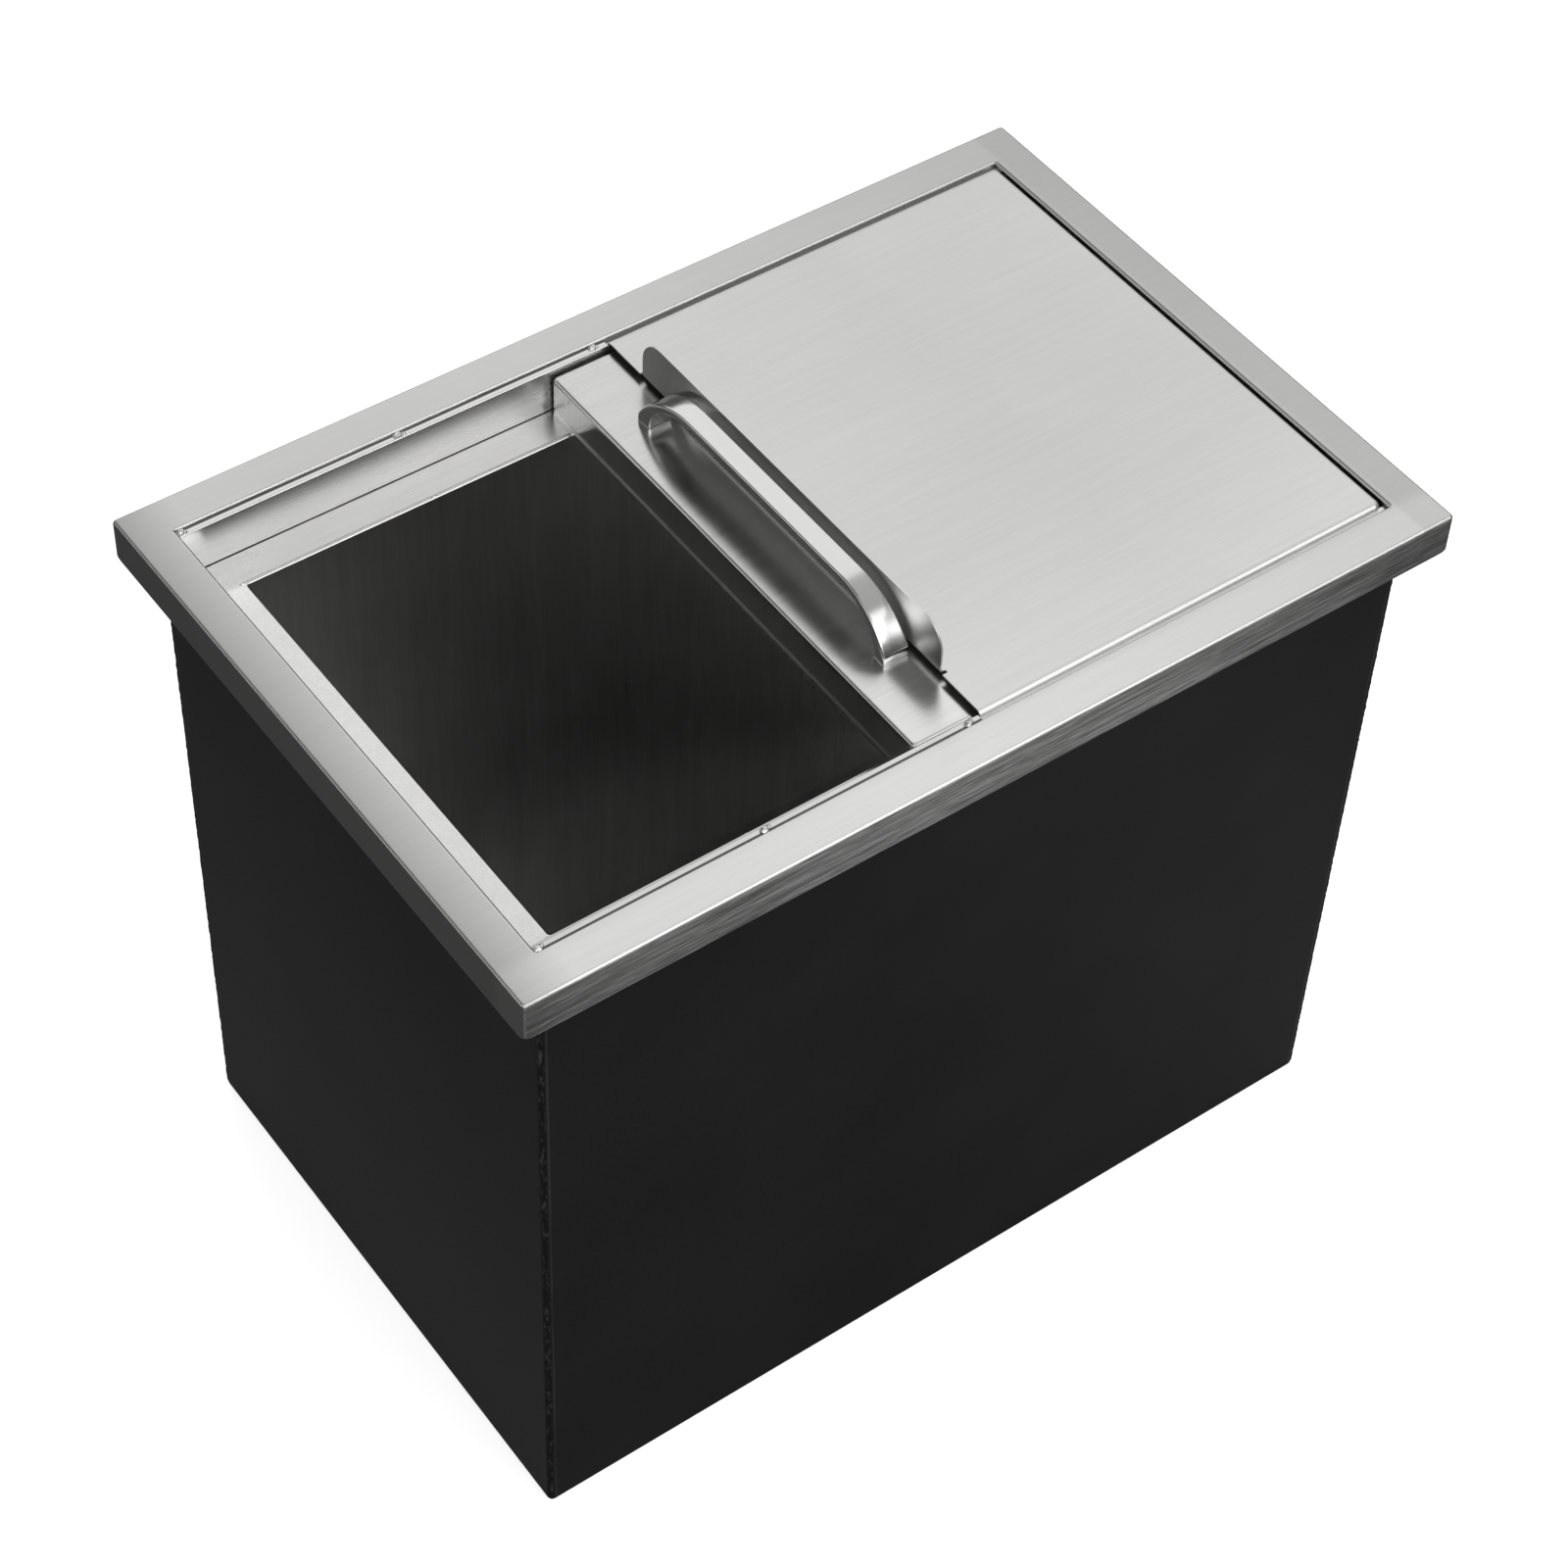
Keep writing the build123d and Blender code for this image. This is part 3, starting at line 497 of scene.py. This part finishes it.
NUGGET_RIPPLES = 5.0
NUGGET_RIPPLE_SHARE = 0.4
NUGGET_SPOTS = (0, 50)


def add_nugget(mesh, centre, half, spot):
    """A drop of weld metal: a flattened ball with ripples and a few pits."""
    for vert in bmesh.ops.create_icosphere(mesh, subdivisions=NUGGET_SUBDIVISIONS, radius=1.0)["verts"]:
        away = vert.co.normalized()
        waves = noise.noise(away * NUGGET_WAVES + Vector((spot, 0.0, 0.0)))
        ripples = noise.noise(away * NUGGET_RIPPLES + Vector((0.0, spot, 0.0)))
        swell = 1.0 + NUGGET_ROUGH * waves
        swell += NUGGET_RIPPLE_SHARE * NUGGET_ROUGH * ripples
        swell = min(swell, 1.0 + NUGGET_ROUGH / 2)
        vert.co = Vector([centre[i] + away[i] * half[i] * swell for i in range(3)])


def make_tack_nuggets(draw):
    """A nugget at each place where a rail is welded to the rim, with a smaller splash beside it."""
    mesh = bmesh.new()
    for x in TACK_X:
        for side in (-1, 1):
            half = (draw.uniform(*TACK_HALF_X), TACK_HALF_Y, draw.uniform(*TACK_HALF_Z))
            add_nugget(mesh, (x, side * TACK_Y, TACK_Z), half, draw.uniform(*NUGGET_SPOTS))
            half = (draw.uniform(*SPLASH_HALF_X), SPLASH_HALF_Y, SPLASH_HALF_Z)
            centre = (x + draw.uniform(*SPLASH_BESIDE), side * (TACK_Y - SPLASH_INWARDS), TACK_Z)
            add_nugget(mesh, centre, half, draw.uniform(*NUGGET_SPOTS))
    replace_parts(finished(mesh, "tack_nuggets", "weld", "bin"), "rail_tacks")


def make_knot_nuggets(draw):
    """A small nugget at each place where a ledge is welded to the liner."""
    mesh = bmesh.new()
    for x in KNOT_X:
        for side in (-1, 1):
            half = (draw.uniform(*KNOT_HALF_X), draw.uniform(*KNOT_HALF_Y), KNOT_HALF_Z)
            add_nugget(mesh, (x, side * KNOT_Y, KNOT_Z), half, draw.uniform(*NUGGET_SPOTS))
    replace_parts(finished(mesh, "knot_nuggets", "weld", "bin"), "ledge_knots")


# The box's corners, and the weld over them: its levels, its arc in degrees, and how far it stands out
BOX_CORNERS = ((-1, -1), (1, -1), (1, 1), (-1, 1))
CORNER_RADIUS = 0.0040
BEAD_STEP = 0.0022
BEAD_FOOT = 0.005
BEAD_TOP = 0.5560
BEAD_ARC_STEPS = 12
BEAD_ARC_START = 8
BEAD_ARC_SWEEP = 74
BEAD_BACK = 0.0008
BEAD_SUNK = 0.0003
BEAD_LIFT = 0.0004
BEAD_LUMPS = 0.0004
BEAD_RIPPLES = 0.0003

# How fast the lumps change along the arc, up the corner and from corner to corner, and the finer ripples
LUMPS_ALONG_ARC = 2.2
LUMPS_PER_METRE = 420.0
LUMPS_PER_CORNER = 9.0
RIPPLES_PER_LUMP = 2.6
EDGE_STEEPNESS = 6


def weld_outline(z, number):
    """Shares of the arc and radii round one level of a corner's weld: its rough skin, then back behind it."""
    shares = [step / BEAD_ARC_STEPS for step in range(BEAD_ARC_STEPS + 1)]
    skin = []
    for share in shares:
        spot = Vector((share * LUMPS_ALONG_ARC, z * LUMPS_PER_METRE, number * LUMPS_PER_CORNER))
        ripples = noise.noise(spot * RIPPLES_PER_LUMP)
        lift = BEAD_LIFT + BEAD_LUMPS * noise.noise(spot) + BEAD_RIPPLES * ripples
        edge = min(1.0, EDGE_STEEPNESS * min(share, 1 - share))
        skin.append((share, CORNER_RADIUS - BEAD_SUNK + max(lift, 0.0) * edge + BEAD_SUNK * edge))
    return skin + [(share, CORNER_RADIUS - BEAD_BACK) for share in reversed(shares)]


def make_corner_welds():
    """A rough run of weld over each upright corner of the box, sunk into the folded corner below it."""
    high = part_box("corner_beads")[1]
    levels = int((BEAD_TOP - BEAD_FOOT) / BEAD_STEP)
    mesh = bmesh.new()
    for number, (side_x, side_y) in enumerate(BOX_CORNERS):
        centre_x = (high[0] - CORNER_RADIUS) * side_x
        centre_y = (high[1] - CORNER_RADIUS) * side_y
        rings = []
        for level in range(levels + 1):
            z = BEAD_FOOT + (BEAD_TOP - BEAD_FOOT) * level / levels
            ring = []
            for share, out in weld_outline(z, number):
                angle = math.radians(BEAD_ARC_START + BEAD_ARC_SWEEP * share)
                x = centre_x + side_x * out * math.cos(angle)
                y = centre_y + side_y * out * math.sin(angle)
                ring.append(mesh.verts.new((x, y, z)))
            rings.append(ring)
        for lower, upper in zip(rings, rings[1:]):
            for i in range(len(lower)):
                j = (i + 1) % len(lower)
                mesh.faces.new((lower[i], lower[j], upper[j], upper[i]))
        mesh.faces.new(rings[0])
        mesh.faces.new(list(reversed(rings[-1])))
    finished(mesh, "corner_welds", "bead", "bin")


draw = random.Random(NUGGET_SEED)
make_tack_nuggets(draw)
make_knot_nuggets(draw)
make_corner_welds()


# Stage: a pale floor and a white backdrop, with a soft studio that only the part's surfaces see

# Each part of the studio has a direction over the ground, and how squarely that is faced where the part
# starts and where it is full
REAR_TOWARDS = (0.64, 0.77)
REAR_SPREAD = (0.45, 0.90)
FRONT_TOWARDS = (0.0, -1.0)
FRONT_SPREAD = (0.45, 0.75)
LEFT_TOWARDS = (-1.0, 0.0)
LEFT_SPREAD = (0.5, 0.8)
SHADED_TOWARDS = (-0.80, 0.60)
SHADED_SPREAD = (0.40, 0.85)

# Heights are the upward part of the direction that is looked in
HORIZON_HEIGHTS = (0.14, 0.28)
FRONT_FOOT = (0.32, 0.44)
FRONT_HEAD = (0.66, 0.58)
LEFT_HEAD = (0.42, 0.54)
SHADED_FOOT = (0.45, 0.60)
ZENITH_HEIGHTS = (0.79, 0.82)

HORIZON_LEVEL = 0.10
RING_LEVEL = 0.38
REAR_LEVEL = 0.75
FRONT_LEVELS = (1.3, 3.0)
LEFT_LEVEL = 0.9
ZENITH_LEVEL = 0.55
RING_SHADE = -0.31
ZENITH_SHADE = -0.45

FLOOR_SIZE = 24.0
FLOOR_Z = -0.0004
FLOOR_TONE = 0.93
FLOOR_GLOW = 0.60

# The floor's tone to bouncing light is a sum of ramps along X: from, to, level at from, level at to
FLOOR_BOUNCE = (
    (-0.40, -0.10, 0.115, 0.080),
    (0.05, 0.40, 0.0, 0.125),
    (0.50, 0.90, 0.0, -0.180),
)


def seen_or_not(n, seen, unseen):
    """One shader for what is looked at directly, another for light that bounces."""
    path = n.node("ShaderNodeLightPath")
    inputs = {0: path.outputs["Is Camera Ray"], 1: unseen.outputs[0], 2: seen.outputs[0]}
    return n.node("ShaderNodeMixShader", inputs).outputs[0]


def make_world():
    """A ring of light below a zenith: brighter at the rear right, front and left, dim at the rear left."""
    world = bpy.data.worlds.new("studio")
    bpy.context.scene.world = world
    world.use_nodes = True
    n = Nodes(world.node_tree)
    looking = n.node("ShaderNodeTexCoord").outputs["Generated"]
    x, y, z = (n.part(looking, axis) for axis in "XYZ")
    flat = n.math("SQRT", n.math("MULTIPLY_ADD", x, x, n.math("MULTIPLY_ADD", y, y, 0.0001)))

    def squarely(towards):
        return n.math("DIVIDE", n.math("MULTIPLY_ADD", x, towards[0], n.times(y, towards[1])), flat)

    rear = n.ramp(squarely(REAR_TOWARDS), *REAR_SPREAD, 0.0, REAR_LEVEL)
    strip = n.times(n.ramp(z, *FRONT_FOOT), n.ramp(z, *FRONT_HEAD, *FRONT_LEVELS))
    front = n.times(n.ramp(squarely(FRONT_TOWARDS), *FRONT_SPREAD), strip)
    left = n.ramp(squarely(LEFT_TOWARDS), *LEFT_SPREAD, 0.0, LEFT_LEVEL)
    left = n.times(left, n.ramp(z, *LEFT_HEAD, 1.0, 0.0))
    shaded = n.times(n.ramp(squarely(SHADED_TOWARDS), *SHADED_SPREAD), n.ramp(z, *SHADED_FOOT))
    ring = n.math("MULTIPLY_ADD", shaded, RING_SHADE, n.plus(left, RING_LEVEL))
    ring = n.plus(n.plus(rear, front), ring)
    zenith = n.math("MULTIPLY_ADD", shaded, ZENITH_SHADE, ZENITH_LEVEL)
    over = n.ramp(z, *ZENITH_HEIGHTS)
    level = n.plus(n.times(zenith, over), n.times(ring, n.math("SUBTRACT", 1.0, over)))
    light = n.mix(n.ramp(z, *HORIZON_HEIGHTS), grey(HORIZON_LEVEL), n.combined((level, level, level)))
    surround = n.node("ShaderNodeBackground", {0: light})
    backdrop = n.node("ShaderNodeBackground", {0: grey(1.0)})
    n.node("ShaderNodeOutputWorld", {0: seen_or_not(n, backdrop, surround)})


def make_floor():
    bpy.ops.mesh.primitive_plane_add(size=FLOOR_SIZE, location=(0, 0, FLOOR_Z))
    floor = bpy.context.object
    floor.name = "floor"
    material = bpy.data.materials.new("floor")
    material.use_nodes = True
    n = Nodes(material.node_tree)
    pale = n.node("ShaderNodeBsdfDiffuse", {0: grey(FLOOR_TONE)})
    glow = n.node("ShaderNodeEmission", {0: grey(FLOOR_GLOW)})
    seen = n.node("ShaderNodeAddShader", {0: pale.outputs[0], 1: glow.outputs[0]})
    across = n.part(n.node("ShaderNodeTexCoord").outputs["Object"], "X")
    level = 0.0
    for start, end, at_start, at_end in FLOOR_BOUNCE:
        level = n.plus(level, n.ramp(across, start, end, at_start, at_end))
    dull = n.node("ShaderNodeBsdfDiffuse", {0: n.combined((level, level, level))})
    n.node("ShaderNodeOutputMaterial", {0: seen_or_not(n, seen, dull)})
    floor.data.materials.append(material)


def make_camera():
    data = bpy.data.cameras.new("camera")
    data.lens = CAMERA_LENS
    data.sensor_width = CAMERA_SENSOR
    data.shift_x, data.shift_y = CAMERA_SHIFT
    camera = bpy.data.objects.new("camera", data)
    bpy.context.scene.collection.objects.link(camera)
    yaw = Matrix.Rotation(CAMERA_YAW, 4, "Z")
    tilt = Matrix.Rotation(math.pi / 2 - CAMERA_DOWN, 4, "X")
    roll = Matrix.Rotation(CAMERA_ROLL, 4, "Z")
    camera.matrix_world = Matrix.Translation(CAMERA_PLACE) @ yaw @ tilt @ roll
    bpy.context.scene.camera = camera


make_world()
make_floor()
make_camera()
bpy.context.scene.view_settings.view_transform = "Standard"
